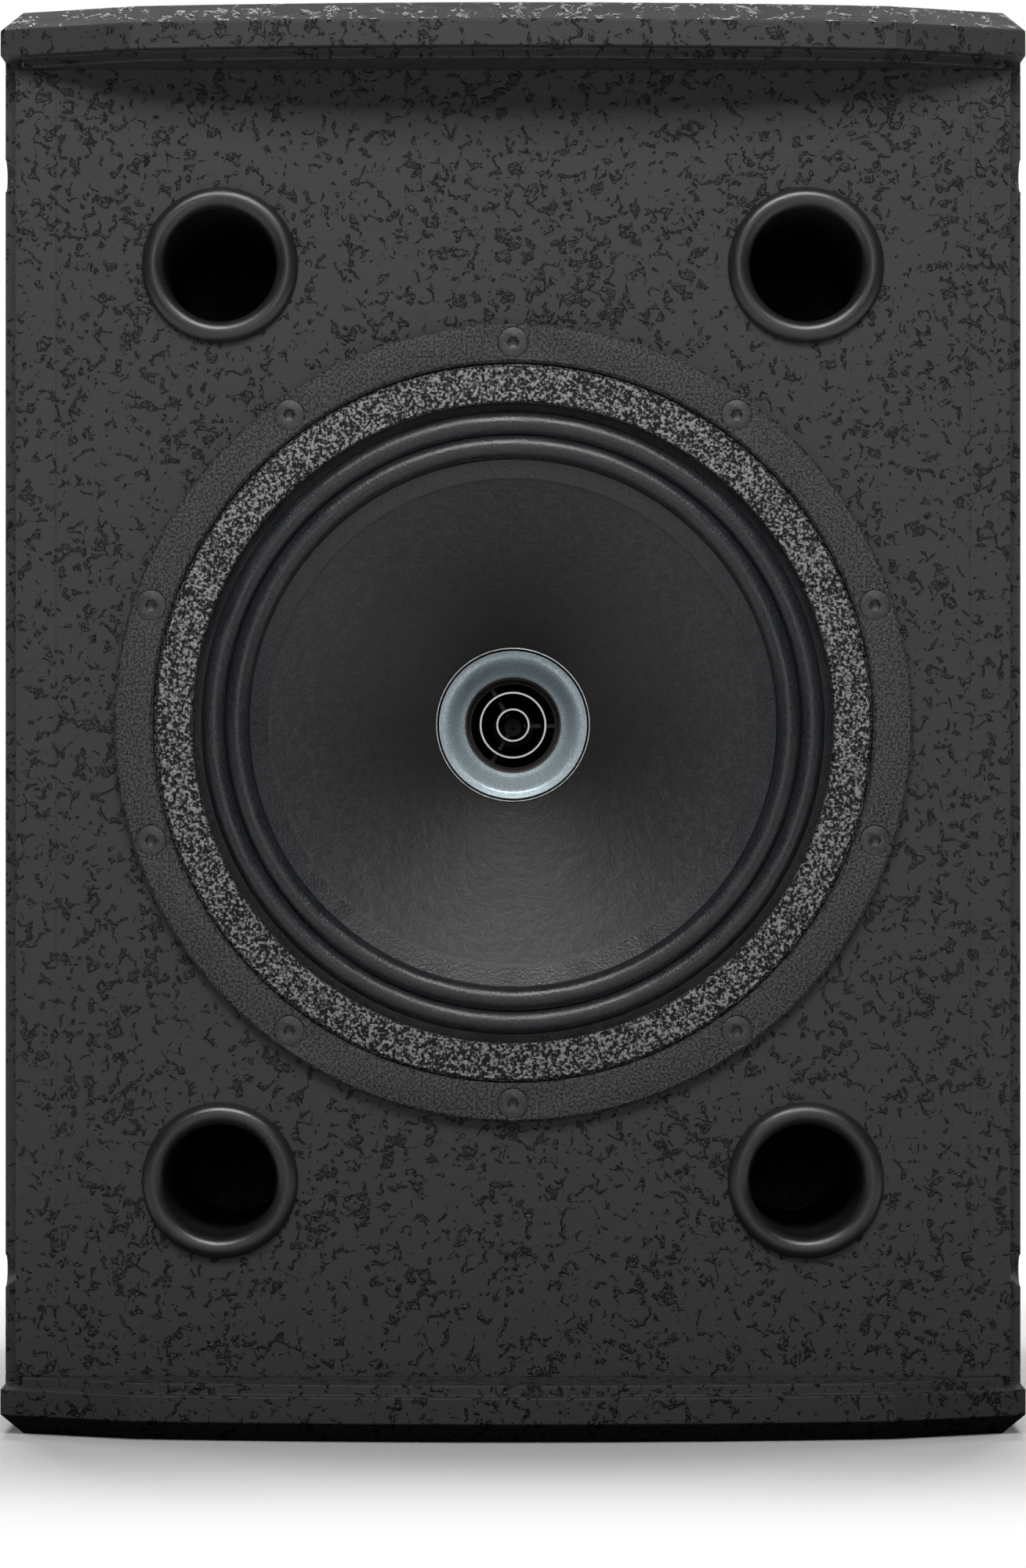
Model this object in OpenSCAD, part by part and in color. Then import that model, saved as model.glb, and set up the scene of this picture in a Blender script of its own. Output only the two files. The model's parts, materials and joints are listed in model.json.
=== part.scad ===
// Two-way loudspeaker cabinet with a 12 inch coaxial driver and four corner ports.
// The baffle faces -Y, +X is the right-hand side seen from the front and +Z is up.
// The origin is on the floor, under the middle of the cabinet.

/* [Cabinet] */
// Overall width
cabinet_w = 410; // [400:1:430]
// Overall height
cabinet_h = 570; // [560:1:600]
// Overall depth, from the middle of the bowed front edge to the rear edges
cabinet_d = 330; // [320:1:360]
// Thickness of the side panels
side_t = 21.5; // [18:0.5:22]
// Thickness of the top and bottom panels
cap_t = 22.7; // [20:0.1:24]
// Thickness of the baffle and of the rear panel
board_t = 18; // [15:1:20]
// Size of the 45 degree chamfer round the top and bottom panels
edge_chamfer = 8.4; // [4:0.2:10]
// Distance that the rear panel is set in from the rear edges
rear_inset = 10; // [8:1:14]

/* [Bowed front edge] */
// How far the top and bottom panels overhang the baffle at the corners
corner_overhang = 6.5; // [4:0.5:8]
// Width of the straight facet next to each corner
facet_w = 53.5; // [45:0.5:60]
// How far each facet comes forward
facet_rise = 17; // [12:0.5:20]
// How far the middle of the edge bows forward of the facets
bow_rise = 8.5; // [5:0.5:12]
// Depth of the grille rebate behind the front edge
rebate_d = 5.6; // [4:0.2:7]
// Height of the grille rebate
rebate_h = 4.1; // [3:0.1:5]
// Depth of the grille rebate down the outside of each side panel
side_rebate_d = 10; // [8:0.5:12]
// Distance that the side rebate is cut into the side panel
side_rebate_w = 5.3; // [4:0.1:6]

/* [Ports] */
// Sideways distance of each port from the middle
port_x = 117.6; // [112:0.2:122]
// Height of each port above or below the middle
port_z = 183.7; // [180:0.1:188]
// Radius of the port's straight bore
port_r = 22.6; // [20:0.2:23]
// Radius of the rounded bead round the port's mouth
port_bead_r = 4.4; // [3.5:0.1:5]
// Length of the port tube behind the baffle's face
port_len = 112; // [80:1:140]

/* [Driver] */
// Outer radius of the trim ring
trim_r = 160; // [158:0.5:162]
// Inner radius of the trim ring
trim_bore_r = 144.3; // [143.8:0.1:145]
// How far the trim ring stands proud of the baffle
trim_t = 5; // [4:0.5:6]
// Radius of the fixing screws' circle
screw_circle_r = 152.4; // [152:0.1:153]
// Number of fixing screws
screw_count = 10; // [8:1:12]
// Inner radius of the driver frame's front ring
frame_bore_r = 128.5; // [128:0.1:129]
// Radius where the surround's outer roll starts
surround_r = 125; // [124.5:0.1:126]
// Outer radius of the cone
cone_r = 106.3; // [106:0.1:107]
// Radius of the cone's folded rim, inside its flat lip
cone_fold_r = 98.6; // [97:0.1:100]
// Depth of the surround's flange behind the trim ring's face
surround_depth = 7; // [6.5:0.1:8]
// Depth of the cone's neck behind the trim ring's face
neck_depth = 55; // [52:0.5:57]
// Inner radius of the voice coil's former
former_r = 31.4; // [31.4:0.1:31.8]

/* [High-frequency unit] */
// Radius of the waveguide's mouth
mouth_r = 30.6; // [30:0.1:30.8]
// Depth of the waveguide's mouth behind the trim ring's face
mouth_depth = 57; // [56:0.5:59]
// Radius of the waveguide's throat
throat_r = 18.8; // [18:0.1:19]
// Depth of the waveguide's throat behind the trim ring's face
throat_depth = 72.7; // [71:0.1:74]
// Depth of the phase plug's front edges behind the trim ring's face
plug_depth = 66; // [65:0.5:68]

/* [Rear and fittings] */
// Height of the input plate's centre
input_z = 150; // [130:5:170]
// Height of the side handles' centre
handle_z = 368; // [355:1:380]
// Inner radius of the pole socket
pole_r = 17.75; // [17.6:0.05:17.9]
// Depth of the pole socket
pole_len = 84; // [75:1:90]
// Bore radius of the rigging inserts, an M10 thread's minor radius
rig_r = 4.25; // [4.2:0.05:4.3]
// Height of the grille screws above or below the middle
grille_z = 221; // [215:1:225]

/* [Hidden] */
$fn = 96;

half_w = cabinet_w / 2;
mid_z = cabinet_h / 2;
front_y = -cabinet_d / 2;
rear_y = cabinet_d / 2;
baffle_y = front_y + corner_overhang + facet_rise + bow_rise;
corner_y = baffle_y - corner_overhang;
inner_x = half_w - side_t;
rear_panel_y = rear_y - rear_inset;
rear_inner_y = rear_panel_y - board_t;
baffle_back_y = baffle_y + board_t;
shoulder_y = baffle_y + side_rebate_d;
inner_h = cabinet_h - 2 * cap_t;

// the bow is an arc over the stretch between the two facets
bow_half = half_w - facet_w;
bow_r = (bow_half * bow_half + bow_rise * bow_rise) / (2 * bow_rise);
bow_y = front_y + bow_r;
bow_angle = asin(bow_half / bow_r);
bow_steps = 12;
ledge_half_w = half_w - edge_chamfer;

trim_y = baffle_y - trim_t;
surround_y = trim_y + surround_depth;
neck_y = trim_y + neck_depth;
mouth_y = trim_y + mouth_depth;
throat_y = trim_y + throat_depth;
plug_y = trim_y + plug_depth;
flange_r = 157;
flange_t = 5;
screw_r = 3;
head_r = 6;
head_gap = 0.5;
seat_y = surround_y + 0.6;
pole_plate_y = neck_y + 33;
pole_plate_t = 8;
magnet_t = 20;
back_plate_y = pole_plate_y + pole_plate_t + magnet_t;
back_plate_t = 8;
hf_y = back_plate_y + back_plate_t;
hf_magnet_t = 14;
hf_plate_t = 6;
hf_back_y = hf_y + hf_magnet_t + hf_plate_t;
pole_out_r = former_r - 0.6;
former_t = 0.4;
former_len = 46;
coil_t = 1;
coil_h = 14;
coil_y = pole_plate_y + pole_plate_t / 2;
frame_back_r = 80;
spider_y = neck_y + 17;
spider_r = 74;
terminal_y = pole_plate_y - 14;
hf_coil_r = 22.4;

socket_x = 42;
dish_w = 146;
dish_h = 80;
dish_wall = 3;
dish_floor_y = 130;
knob_r = 9;
spindle_r = 3;
handle_w = 168;
handle_h = 108;
cup_w = 138;
cup_h = 80;
cup_depth = 42;
cup_wall = 3;
handle_y = 15;
pole_y = 10;
rig_x = 130;
rig_y = 30;
insert_len = 16;
board_w = 150;
board_h = 110;
board_z = 335;
board_y = 126;

// Turns a profile of [radius, y] points about the driver's axis
module turned() {
    translate([0, 0, mid_z]) rotate([-90, 0, 0]) rotate_extrude() children();
}

// Points a cylinder's length along +Y, with its start at the given point
module along_y(x, y, z) {
    translate([x, y, z]) rotate([-90, 0, 0]) children();
}

// Points a cylinder's length along +X, with its start at the given point
module along_x(x, y, z) {
    translate([x, y, z]) rotate([0, 90, 0]) children();
}

module rounded_rect(w, h, r) {
    square([w - 2 * r, h], center = true);
    square([w, h - 2 * r], center = true);
    for (sx = [-1, 1], sz = [-1, 1])
        translate([sx * (w / 2 - r), sz * (h / 2 - r)]) circle(r);
}

// A slab whose outline lies in the X-Z plane, with its front at y
module upright_slab(w, h, r, y, t, z) {
    translate([0, y + t, z]) rotate([90, 0, 0]) linear_extrude(t) rounded_rect(w, h, r);
}

// A slab whose outline lies in the Y-Z plane, with its inner face at x
module side_slab(w, h, r, x, t) {
    translate([x, handle_y, handle_z]) rotate([90, 0, 90]) linear_extrude(t) rounded_rect(w, h, r);
}

// Cuts the corners off a path, keeping its two ends
function cut_corners(p) = [p[0], for (i = [0 : len(p) - 2]) for (t = [0.25, 0.75])
    p[i] * (1 - t) + p[i + 1] * t, p[len(p) - 1]];
function unit(v) = v / norm(v);
function heading(p, i) = unit(p[min(i + 1, len(p) - 1)] - p[max(i - 1, 0)]);

// A ring of points square to the path at its i-th point
function wire_ring(p, i, r, sides) = let (d = heading(p, i), u = unit(cross(d, [1, 0.1, 0])), v = cross(u, d))
    [for (k = [0 : sides - 1]) p[i] + r * (cos(360 * k / sides) * u + sin(360 * k / sides) * v)];

// A flexible wire swept along a path, with closed ends
module wire(points, r) {
    sides = 8;
    path = cut_corners(cut_corners(points));
    last = len(path) - 1;
    rings = [for (i = [0 : last]) wire_ring(path, i, r, sides)];
    walls = [for (i = [0 : last - 1], k = [0 : sides - 1]) let (m = (k + 1) % sides)
        [i * sides + k, i * sides + m, (i + 1) * sides + m, (i + 1) * sides + k]];
    first_cap = [for (k = [sides - 1 : -1 : 0]) k];
    last_cap = [for (k = [0 : sides - 1]) last * sides + k];
    polyhedron([for (ring = rings) each ring], concat(walls, [first_cap, last_cap]));
}

// ---- carcass ----

// Moves every edge of a convex outline inwards by the same distance
function inset(p, d) = [for (i = [0 : len(p) - 1])
    let (u = unit(p[i] - p[(i + len(p) - 1) % len(p)]), v = unit(p[(i + 1) % len(p)] - p[i]))
    p[i] + d * [-u.y - v.y, u.x + v.x] / (1 + u * v)];

// The outline of the top and bottom panels: facet, arc and facet along the front, square at the rear
cap_outline = concat([[-half_w, corner_y]],
    [for (i = [-bow_steps : bow_steps]) let (a = bow_angle * i / bow_steps)
        [bow_r * sin(a), bow_y - bow_r * cos(a)]],
    [[half_w, corner_y], [half_w, rear_y], [-half_w, rear_y]]);

// A slab of the panels' outline whose top edge is set in by the chamfer
module chamfered_slab() {
    count = len(cap_outline);
    top = inset(cap_outline, edge_chamfer);
    walls = [for (i = [0 : count - 1]) let (k = (i + 1) % count) [i, i + count, k + count, k]];
    polyhedron(concat([for (p = cap_outline) [p.x, p.y, 0]], [for (p = top) [p.x, p.y, edge_chamfer]]),
        concat([[for (i = [0 : count - 1]) i]], walls,
            [[for (i = [count - 1 : -1 : 0]) i + count]]));
}

module insert_hole() {
    translate([0, 0, -insert_len - 0.2]) cylinder(h = insert_len + 1, r = 8.1);
    translate([0, 0, -2.2]) cylinder(h = 3, r = 12.2);
}

module cap_panel() {
    body_z = cabinet_h - cap_t + rebate_h;
    difference() {
        union() {
            translate([0, 0, cabinet_h - edge_chamfer]) chamfered_slab();
            translate([0, 0, body_z]) linear_extrude(cap_t - rebate_h - edge_chamfer) polygon(cap_outline);
            translate([0, 0, cabinet_h - cap_t]) linear_extrude(rebate_h) {
                intersection() {
                    polygon(inset(cap_outline, rebate_d));
                    translate([-ledge_half_w, front_y]) square([2 * ledge_half_w, cabinet_d / 2]);
                }
                translate([-half_w, shoulder_y]) square([cabinet_w, rear_y - shoulder_y]);
            }
        }
        for (sx = [-1, 1]) translate([sx * rig_x, rig_y, cabinet_h]) insert_hole();
    }
}

module top_panel() {
    color("#262626") cap_panel();
}

module bottom_panel() {
    color("#262626") difference() {
        translate([0, 0, cabinet_h]) mirror([0, 0, 1]) cap_panel();
        translate([0, pole_y, -1]) cylinder(h = cap_t + 2, r = pole_r + 3.3);
        translate([0, pole_y, -1]) cylinder(h = 4.2, r = 45.3);
        pole_screws_at() translate([0, 0, -1]) cylinder(h = 18.2, r = 2.1);
    }
}

module side_panel() {
    difference() {
        translate([inner_x, baffle_y, cap_t]) cube([side_t, rear_y - baffle_y, inner_h]);
        translate([half_w - side_rebate_w, baffle_y - 1, 0])
            cube([side_rebate_w + 1, side_rebate_d + 1, cabinet_h]);
        side_slab(cup_w + 2 * cup_wall + 0.6, cup_h + 2 * cup_wall + 0.6, 20.3, inner_x - 1, side_t + 2);
        side_slab(handle_w + 0.6, handle_h + 0.6, 16.3, half_w - 3.2, 4);
        handle_screws_at() translate([0, 0, -16.2]) cylinder(h = 17, r = 2.1);
        for (sz = [-1, 1]) {
            along_x(inner_x + 2, shoulder_y, mid_z + sz * grille_z) cylinder(h = side_t, r = 3.05);
            along_x(half_w - side_rebate_w, shoulder_y, mid_z + sz * grille_z)
                cylinder(h = side_rebate_w + 0.01, r1 = 3.05, r2 = 3.05 + side_rebate_w * 0.65);
        }
        along_x(half_w, rig_y, mid_z - 20) insert_hole();
    }
}

module left_side_panel() {
    color("#262626") mirror([1, 0, 0]) side_panel();
}

module right_side_panel() {
    color("#262626") side_panel();
}

module baffle() {
    color("#2c2c2c") difference() {
        translate([-inner_x, baffle_y, cap_t]) cube([2 * inner_x, board_t, inner_h]);
        along_y(0, baffle_y - 1, mid_z) cylinder(h = board_t + 2, r = 135.2);
        along_y(0, baffle_y - 1, mid_z) cylinder(h = flange_t + 1.2, r = flange_r + 0.4);
        for (i = [0 : screw_count - 1]) trim_screw_at(i) cylinder(h = 30, r = 4.2);
        for (sx = [-1, 1], sz = [-1, 1])
            along_y(sx * port_x, baffle_y - 1, mid_z + sz * port_z)
                cylinder(h = board_t + 2, r = port_r + 2.8);
    }
}

module rear_panel() {
    color("#262626") difference() {
        translate([-inner_x, rear_inner_y, cap_t]) cube([2 * inner_x, board_t, inner_h]);
        upright_slab(dish_w + 0.6, dish_h + 0.6, 10.3, rear_inner_y - 1, board_t + 2, input_z);
        input_screws_at() translate([0, 0, -18.2]) cylinder(h = 19, r = 1.9);
        translate([0, rear_panel_y, mid_z + 150]) rotate([-90, 0, 0]) insert_hole();
    }
}

module cross_brace() {
    color("#b08a58") translate([-inner_x, 30, 248]) cube([2 * inner_x, 40, 18]);
}

module glue_blocks() {
    block = 20;
    color("#b08a58") for (y = [baffle_back_y, rear_inner_y - block]) {
        for (sx = [-1, 1]) translate([sx * (inner_x - block / 2) - block / 2, y, cap_t + block])
            cube([block, block, inner_h - 2 * block]);
        for (z = [cap_t, cabinet_h - cap_t - block])
            translate([-inner_x, y, z]) cube([2 * inner_x, block, block]);
    }
}

module damping_lining() {
    pad = 18;
    color("#d8d4c8") {
        translate([-150, -60, cabinet_h - cap_t - pad]) cube([300, 160, pad]);
        for (sx = [-1, 1]) {
            translate([sx * (inner_x - pad / 2) - pad / 2, -80, 50]) cube([pad, 180, 190]);
            translate([sx * 100 - 65, -60, cap_t]) cube([130, 160, pad]);
        }
        translate([-140, rear_inner_y - pad, 415]) cube([280, pad, 105]);
    }
}

// ---- ports ----

module port_tube(sx, sz) {
    bead_y = baffle_y;
    bead_c = port_r + port_bead_r;
    wall = 2.5;
    color("#1d1d1d") translate([sx * port_x, 0, mid_z + sz * port_z]) rotate([-90, 0, 0])
        rotate_extrude() {
            intersection() {
                translate([bead_c, bead_y]) circle(port_bead_r);
                translate([port_r, bead_y - port_bead_r]) square([2 * port_bead_r, port_bead_r]);
            }
            translate([port_r, bead_y]) square([wall, port_len - 8]);
            difference() {
                translate([port_r, bead_y + port_len - 8]) square([8 + wall, 8]);
                translate([port_r + 8 + wall, bead_y + port_len - 8]) circle(8);
                translate([port_r, bead_y + port_len]) circle(2);
            }
        }
}

module port_tube_top_left() {
    port_tube(-1, 1);
}

module port_tube_top_right() {
    port_tube(1, 1);
}

module port_tube_bottom_left() {
    port_tube(-1, -1);
}

module port_tube_bottom_right() {
    port_tube(1, -1);
}

// ---- driver mounting ----

// Places its children at one screw of the circle, with their length along +Y from the trim's face
module trim_screw_at(i) {
    a = 90 + i * 360 / screw_count;
    translate([screw_circle_r * cos(a), trim_y, mid_z + screw_circle_r * sin(a)]) rotate([-90, 0, 0])
        children();
}

module trim_ring() {
    bevel = 1.2;
    color("#333333") difference() {
        turned() polygon([[trim_bore_r, baffle_y], [trim_bore_r, trim_y + bevel],
            [trim_bore_r + bevel, trim_y], [trim_r - bevel, trim_y], [trim_r, trim_y + bevel],
            [trim_r, baffle_y]]);
        for (i = [0 : screw_count - 1]) trim_screw_at(i) {
            translate([0, 0, -1]) cylinder(h = 8, r = screw_r + 0.3);
            cylinder(h = head_r - screw_r, r1 = head_r + head_gap, r2 = screw_r + head_gap);
        }
    }
}

module trim_screws() {
    color("#191919") for (i = [0 : screw_count - 1]) trim_screw_at(i) translate([0, 0, 0.3])
        difference() {
            union() {
                cylinder(h = head_r - screw_r, r1 = head_r, r2 = screw_r - 0.1);
                cylinder(h = 32, r = screw_r - 0.1);
            }
            translate([0, 0, -1]) cylinder(h = 3.4, r = 2.35, $fn = 6);
        }
}

module tee_nuts() {
    color("#9a9a92") for (i = [0 : screw_count - 1]) trim_screw_at(i) difference() {
        union() {
            translate([0, 0, board_t + trim_t]) cylinder(h = 1.6, r = 9.5);
            translate([0, 0, board_t + trim_t - 9]) cylinder(h = 10, r = 4);
        }
        cylinder(h = 40, r = screw_r);
    }
}

module driver_frame() {
    step_y = baffle_y + flange_t;
    ring_r = trim_bore_r - 0.8;
    wall_r = frame_bore_r + 6;
    basket_y = trim_y + 21;
    window_end = 7 - pole_plate_y;
    color("#3a3a3a") difference() {
        turned() {
            polygon([[frame_bore_r, seat_y + 0.1], [frame_bore_r, trim_y + 0.6],
                [frame_bore_r + 0.6, trim_y], [ring_r - 1, trim_y], [ring_r, trim_y + 1],
                [ring_r, baffle_y + 0.1], [flange_r, baffle_y + 0.1], [flange_r, step_y],
                [wall_r, step_y], [wall_r, basket_y], [frame_back_r + 4, pole_plate_y - 5],
                [frame_back_r, pole_plate_y], [44, pole_plate_y], [44, pole_plate_y - 4],
                [spider_r - 4, pole_plate_y - 4], [spider_r - 4, spider_y + 2.2],
                [frame_back_r, spider_y + 2.2], [frame_bore_r - 1, basket_y + 2],
                [surround_r - 1.5, basket_y - 0.5], [surround_r - 1.5, seat_y + 0.1]]);
        }
        for (i = [0 : screw_count - 1]) trim_screw_at(i) cylinder(h = 30, r = screw_r + 0.5);
        for (i = [0 : 7]) translate([0, 0, mid_z]) rotate([0, i * 45, 0]) rotate([90, 0, 0])
            translate([0, 0, window_end]) linear_extrude(-basket_y - 4.5 - window_end)
                polygon([[frame_back_r + 0.4, -22], [150, -44], [150, 44], [frame_back_r + 0.4, 22]]);
    }
}

// ---- moving parts of the woofer ----

roll = (surround_r - cone_r) / 4;
skin = 0.3;

module half_roll(r) {
    difference() {
        translate([r, surround_y]) circle(roll + skin);
        translate([r, surround_y]) circle(roll - skin);
        translate([r - 20, surround_y]) square([40, 20]);
    }
}

module surround() {
    color("#202020") turned() {
        half_roll(surround_r - roll);
        half_roll(cone_r + roll);
        translate([surround_r - skin, surround_y - skin])
            square([frame_bore_r - surround_r + 0.1, 2 * skin]);
        polygon([[cone_fold_r, fold_y - 0.6], [cone_r - skin, lip_y - 0.6], [cone_r + skin, lip_y - 0.6],
            [cone_r + skin, lip_y - 0.1], [cone_r - 0.6, lip_y - 0.1], [cone_fold_r, fold_y - 0.1]]);
    }
}

cone_neck_r = former_r + former_t + 0.15;
cone_steps = 12;
cone_power = 0.9;
cone_t = 1;
lip_y = surround_y + 0.5;
fold_y = lip_y + 2;

// y of the cone's front face at a share t of the way from neck to fold
function cone_face(t) = neck_y + (fold_y - neck_y) * pow(t, cone_power);
function cone_radius(t) = cone_neck_r + (cone_fold_r - cone_neck_r) * t;

module cone() {
    front = [for (i = [0 : cone_steps]) let (t = i / cone_steps) [cone_radius(t), cone_face(t)]];
    back = [for (i = [cone_steps : -1 : 0]) let (t = i / cone_steps) [cone_radius(t), cone_face(t) + cone_t]];
    color("#303030") turned()
        polygon(concat(front, [[cone_r - 0.6, lip_y], [cone_r - 0.6, lip_y + cone_t]], back));
}

module coil_former() {
    color("#a8a9aa") turned() translate([former_r, neck_y - 0.5]) square([former_t, former_len]);
}

module voice_coil() {
    color("#b0663a") turned() translate([former_r + former_t + 0.02, coil_y - coil_h / 2])
        square([coil_t, coil_h]);
}

spider_in = former_r + former_t + 0.4;
spider_waves = 5;
function spider_wave(t) = 1.4 * sin(360 * spider_waves * t);

module spider() {
    n = 10 * spider_waves;
    upper = [for (i = [0 : n]) [spider_in + (spider_r - spider_in) * i / n, spider_y + spider_wave(i / n)]];
    lower = [for (i = [n : -1 : 0]) [spider_in + (spider_r - spider_in) * i / n,
        spider_y + 0.7 + spider_wave(i / n)]];
    color("#c8b27a") turned() {
        polygon(concat(upper, lower));
        translate([spider_r - 0.2, spider_y]) square([frame_back_r - spider_r - 1, 0.7]);
    }
}

// ---- motor ----

module front_pole_plate() {
    color("#8e9092") turned() translate([former_r + former_t + coil_t + 0.8, pole_plate_y])
        square([66 - former_r - former_t - coil_t - 0.8, pole_plate_t]);
}

module magnet_ring() {
    color("#2b2b2e") turned() translate([42, pole_plate_y + pole_plate_t]) square([34, magnet_t]);
}

module pole_piece() {
    bore = throat_r + 0.5;
    color("#8e9092") turned() polygon([[bore, pole_plate_y], [pole_out_r, pole_plate_y],
        [pole_out_r, back_plate_y], [70, back_plate_y], [70, hf_y], [hf_coil_r - 0.5, hf_y],
        [hf_coil_r - 0.5, hf_back_y], [bore, hf_back_y]]);
}

// Radius and depth along the waveguide's flare, from throat to mouth
function flare_r(t) = throat_r + (mouth_r - throat_r) * t;
function flare_y(t) = throat_y + (mouth_y - throat_y) * sqrt(1 - (1 - t) * (1 - t));

module waveguide() {
    steps = 12;
    flare = [for (i = [0 : steps]) let (t = 1 - cos(90 * i / steps)) [flare_r(t), flare_y(t)]];
    color("#8b9aa2") turned() polygon(concat([[throat_r, pole_plate_y]], flare,
        [[mouth_r, mouth_y + 1.5], [mouth_r - 0.6, mouth_y + 2], [mouth_r - 0.6, pole_plate_y]]));
}

// A thin conical ring of the phase plug, given its middle radius at the front and at the back
module plug_ring(front_r, back_r) {
    t = 0.35;
    polygon([[front_r - t, plug_y], [front_r + t, plug_y], [back_r + 0.8, hf_back_y - 4],
        [back_r - 0.8, hf_back_y - 4]]);
}

module phase_plug() {
    color("#6f7478") {
        turned() {
            plug_ring(13.5, 9.6);
            plug_ring(6.55, 4.6);
            translate([throat_r - 1.2, pole_plate_y + 0.2]) square([1.2, 20]);
        }
        for (i = [0 : 2]) translate([0, 0, mid_z]) rotate([0, i * 120, 0])
            translate([4.6, pole_plate_y + 4, -0.8]) cube([throat_r - 5.4, 12, 1.6]);
    }
}

// ---- high-frequency unit ----

module hf_magnet() {
    color("#2b2b2e") turned() translate([30, hf_y]) square([28, hf_magnet_t]);
}

module hf_pole_plate() {
    color("#8e9092") difference() {
        turned() translate([hf_coil_r + 1.3, hf_y + hf_magnet_t])
            square([58 - hf_coil_r - 1.3, hf_plate_t]);
        cover_screws_at() translate([0, 0, -4.5]) cylinder(h = 6, r = 2.1);
    }
}

module hf_diaphragm() {
    dome_h = 6;
    dome_r = (hf_coil_r * hf_coil_r + dome_h * dome_h) / (2 * dome_h);
    seat = hf_back_y + 0.8;
    color("#c9ccd0") turned() {
        intersection() {
            translate([0, seat + dome_h - dome_r]) difference() {
                circle(dome_r, $fn = 256);
                circle(dome_r - 0.4, $fn = 256);
            }
            translate([0, seat]) square([hf_coil_r + 1, dome_h + 1]);
        }
        translate([hf_coil_r - 1.8, seat]) square([4.8, 0.4]);
    }
}

module hf_voice_coil() {
    color("#b0663a") turned() translate([hf_coil_r, hf_back_y - 4.6]) square([0.5, 5.3]);
}

module hf_mount_ring() {
    color("#1f1f1f") turned() translate([hf_coil_r + 3.4, hf_back_y]) square([14, 3]);
}

module hf_rear_cover() {
    color("#1c1c1c") difference() {
        turned() polygon([[40.3, hf_back_y], [54, hf_back_y], [54, hf_back_y + 4],
            [44.5, hf_back_y + 4], [44.5, hf_back_y + 14], [40.5, hf_back_y + 18],
            [0, hf_back_y + 18], [0, hf_back_y + 15], [39, hf_back_y + 15], [40.3, hf_back_y + 13]]);
        cover_screws_at() cylinder(h = 30, r = 2.2, center = true);
    }
}

module cover_screws_at() {
    for (i = [0 : 3]) translate([0, hf_back_y, mid_z]) rotate([0, 45 + i * 90, 0])
        translate([49, 0, 0]) rotate([-90, 0, 0]) children();
}

module hf_cover_screws() {
    color("#444444") cover_screws_at() {
        translate([0, 0, -4]) cylinder(h = 9, r = 2);
        translate([0, 0, 4]) cylinder(h = 3, r = 3.6);
    }
}

module driver_terminals() {
    color("#14202e") translate([-16, terminal_y, mid_z - frame_back_r - 12.4]) cube([32, 6.8, 12]);
    color("#c8a24a") for (sx = [-1, 1])
        translate([sx * 9 - 2.5, terminal_y + 6.8, mid_z - 89]) cube([5, 7, 1]);
}

module tinsel_leads() {
    color("#b87333") for (sx = [-1, 1])
        wire([[sx * 9, terminal_y - 0.3, mid_z - 86], [sx * 9, terminal_y - 7, mid_z - 84],
            [sx * 9, terminal_y - 12, mid_z - 60], [sx * 9, neck_y - 5, mid_z - 41]], 0.7);
}

// ---- crossover ----

module crossover_board() {
    color("#1f4a2c") translate([-board_w / 2, board_y, board_z - board_h / 2])
        difference() {
            cube([board_w, 1.6, board_h]);
            for (x = [8, board_w - 8], z = [8, board_h - 8])
                along_y(x, -1, z) cylinder(h = 4, r = 2.2);
        }
}

module board_standoffs() {
    color("#b9b4a4") for (sx = [-1, 1], sz = [-1, 1])
        along_y(sx * (board_w / 2 - 8), board_y + 1.6, board_z + sz * (board_h / 2 - 8))
            cylinder(h = rear_inner_y - board_y - 1.6, r = 4);
}

module crossover_coils() {
    color("#b0663a") for (c = [[-40, 25, 24, 22], [-42, -26, 19, 18]])
        along_y(c[0], board_y - c[3], board_z + c[1]) difference() {
            cylinder(h = c[3], r = c[2]);
            translate([0, 0, -1]) cylinder(h = c[3] + 2, r = 9);
        }
}

module crossover_capacitors() {
    color("#2f4f86") for (c = [[30, 38, 11], [30, 12, 11], [28, -13, 9]])
        along_x(c[0] - 20, board_y - c[2], board_z + c[1]) cylinder(h = 42, r = c[2]);
}

module crossover_resistors() {
    color("#e8e4da") for (z = [-36, -48])
        translate([5, board_y - 9, board_z + z]) cube([50, 9, 9]);
}

module internal_wiring() {
    color("#a02822") {
        for (sx = [-1, 1])
            wire([[sx * socket_x, 101, input_z], [sx * socket_x, 92, input_z + 8],
                [sx * 50, 96, 230], [sx * 60, 102, 270], [sx * 60, 112, 283],
                [sx * 60, board_y - 0.4, 283]], 2);
        for (sx = [-1, 1])
            wire([[sx * 20, board_y - 0.4, 283], [sx * 20, 110, 283], [sx * 20, 98, 268],
                [sx * 16, 60, 226], [sx * 9, -20, 192], [sx * 9, terminal_y + 24, mid_z - 89],
                [sx * 9, terminal_y + 14.2, mid_z - 89]], 2);
    }
}

// ---- rear input plate ----

module input_screws_at() {
    for (sx = [-1, 1], sz = [-1, 1])
        translate([sx * 80, rear_panel_y + 4, input_z + sz * 42]) rotate([-90, 0, 0]) children();
}

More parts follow.
